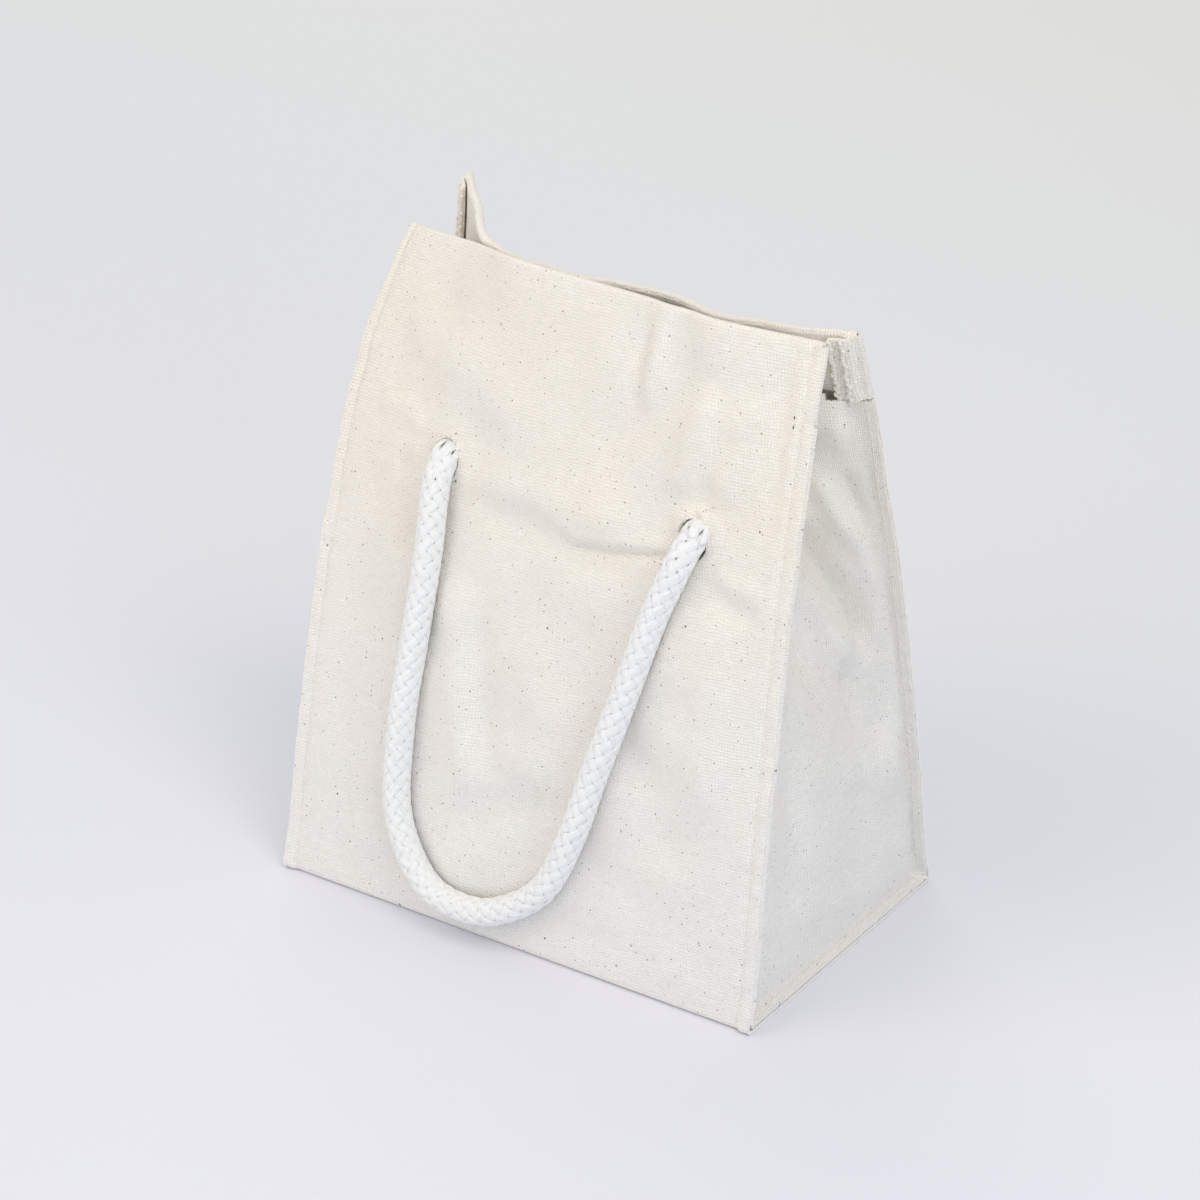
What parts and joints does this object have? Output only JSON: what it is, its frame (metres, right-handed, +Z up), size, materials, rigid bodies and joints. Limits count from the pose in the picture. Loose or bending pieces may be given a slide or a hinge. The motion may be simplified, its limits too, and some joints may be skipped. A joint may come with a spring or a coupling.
{
  "type": "lunch sack",
  "caption": "Canvas lunch sack with folded side gussets, a flat base, an open mouth with loose tabs and a braided rope loop handle on the front and the back.",
  "frame": {"origin": "middle of the base, on the surface that the sack stands on", "axes": "+Z up, -Y out of the front panel, +X to the right seen from the front"},
  "size_m": [0.1902, 0.1359, 0.2281],
  "materials": {
    "canvas": "natural plain-weave cotton with dark seed flecks",
    "rope": "white braided cotton"
  },
  "bodies": {
    "sack": {"base_panel": "canvas", "back_panel": "canvas", "left_gusset": "canvas", "right_gusset": "canvas", "back_top_facing": "canvas", "back_left_turn_in": "canvas", "back_right_turn_in": "canvas", "left_gusset_hem": "canvas", "right_gusset_hem": "canvas", "back_left_rope_end": "rope", "back_right_rope_end": "rope"},
    "front_wall": {"front_panel": "canvas", "front_top_facing": "canvas", "front_left_turn_in": "canvas", "front_right_turn_in": "canvas", "front_left_rope_end": "rope", "front_right_rope_end": "rope"},
    "front_handle": {"front_handle_rope": "rope"},
    "back_handle": {"back_handle_rope": "rope"}
  },
  "joints": [
    {"name": "mouth_open", "type": "hinge", "parent": "sack", "child": "front_wall", "pos_m": [0, -0.0574, 0.0006], "axis": [1, 0, 0], "range_deg": [0, 9]},
    {"name": "front_handle_swing", "type": "hinge", "parent": "front_wall", "child": "front_handle", "pos_m": [0.0069, -0.0389, 0.1591], "axis": [-0.9956, 0.0928, -0.0101], "range_deg": [0, 170]},
    {"name": "back_handle_swing", "type": "hinge", "parent": "sack", "child": "back_handle", "pos_m": [0.0079, 0.0325, 0.1583], "axis": [0.9981, -0.0603, -0.0091], "range_deg": [0, 170]}
  ]
}
